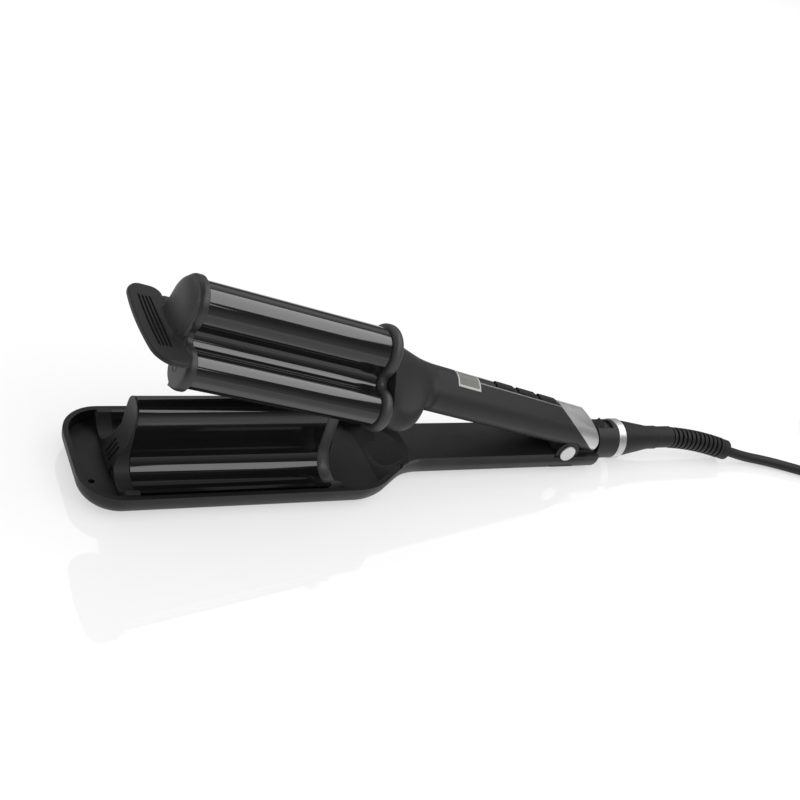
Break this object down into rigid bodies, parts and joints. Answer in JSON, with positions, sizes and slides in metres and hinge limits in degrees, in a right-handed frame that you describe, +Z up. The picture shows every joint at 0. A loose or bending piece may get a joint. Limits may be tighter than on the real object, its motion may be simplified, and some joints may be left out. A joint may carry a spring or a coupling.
{
  "type": "hair crimper",
  "caption": "Hinged hair waver whose glossy lobed barrel closes over a tall ridged plate, with display, keys, slide lock, swivel cord and plug.",
  "frame": {"origin": "bottom centre of the tool's box without the cord, on the table that the lower arm lies on", "axes": "+X along the lower arm from the jaw's tip to the cord, +Y across it, +Z up from the table"},
  "size_m": [0.6923, 0.1021, 0.1175],
  "materials": {
    "matte_case": "matte",
    "coated_plate": "gloss",
    "gloss_panel": "gloss",
    "silver_trim": "satin",
    "pin_metal": "brushed",
    "screw_steel": "satin",
    "heater_metal": "satin",
    "heat_plastic": "matte",
    "fuse_metal": "satin",
    "display_glass": "gloss",
    "board_green": "satin",
    "module_black": "matte",
    "soft_rubber": "matte",
    "tie_plastic": "matte",
    "pin_brass": "satin"
  },
  "bodies": {
    "lower_arm": {"lower_casing": "matte_case", "casing_screws": "screw_steel", "inner_cover": "matte_case", "ridge_plate": "coated_plate", "ridge_tip_cap": "matte_case", "ridge_rear_cap": "matte_case", "lower_heater": "heater_metal", "heater_carrier": "heat_plastic", "thermal_fuse": "fuse_metal", "hinge_pin": "pin_metal", "pin_disc_far": "pin_metal", "pin_disc_near": "pin_metal", "opening_spring": "pin_metal", "swivel_housing": "matte_case", "swivel_ring": "silver_trim"},
    "upper_arm": {"barrel": "coated_plate", "upper_heater": "heater_metal", "temperature_sensor": "heater_metal", "collar": "matte_case", "barrel_tip_cap": "matte_case", "tip_cap_screws": "screw_steel", "cool_tip": "matte_case", "shoulder": "matte_case", "handle_shell": "matte_case", "handle_base": "matte_case", "end_trim": "silver_trim", "top_panel": "gloss_panel", "panel_lines": "silver_trim", "display_frame": "gloss_panel", "display_window": "display_glass", "control_board": "board_green", "display_module": "module_black", "key_switches": "module_black"},
    "minus_key": {"key_minus": "silver_trim"},
    "power_key": {"key_power": "silver_trim"},
    "plus_key": {"key_plus": "silver_trim"},
    "lock": {"lock_slider": "matte_case"},
    "cord_end": {"cord_boot": "soft_rubber", "strain_relief": "soft_rubber", "cord_run": "soft_rubber", "cord_coil": "soft_rubber", "cord_tail": "soft_rubber", "cord_tie": "tie_plastic", "plug_body": "soft_rubber", "plug_pins": "pin_brass"}
  },
  "joints": [
    {"name": "jaw_hinge", "type": "hinge", "parent": "lower_arm", "child": "upper_arm", "pos_m": [0.07588, 0, 0.016], "axis": [0, 1, 0], "range_deg": [-13, 0], "stiffness_Nm_per_rad": 1, "springref_deg": 34.38},
    {"name": "minus_press", "type": "slide", "parent": "upper_arm", "child": "minus_key", "axis": [-0.225, 0, -0.9744], "range_m": [0, 0.0007], "stiffness_N_per_m": 300, "springref_m": -0.0005},
    {"name": "power_press", "type": "slide", "parent": "upper_arm", "child": "power_key", "axis": [-0.225, 0, -0.9744], "range_m": [0, 0.0007], "stiffness_N_per_m": 300, "springref_m": -0.0005},
    {"name": "plus_press", "type": "slide", "parent": "upper_arm", "child": "plus_key", "axis": [-0.225, 0, -0.9744], "range_m": [0, 0.0007], "stiffness_N_per_m": 300, "springref_m": -0.0005},
    {"name": "lock_slide", "type": "slide", "parent": "lower_arm", "child": "lock", "axis": [1, 0, 0], "range_m": [0, 0.005]},
    {"name": "cord_swivel", "type": "hinge", "parent": "lower_arm", "child": "cord_end", "pos_m": [0.12088, 0, 0.0146], "axis": [1, 0, 0], "continuous": true}
  ]
}
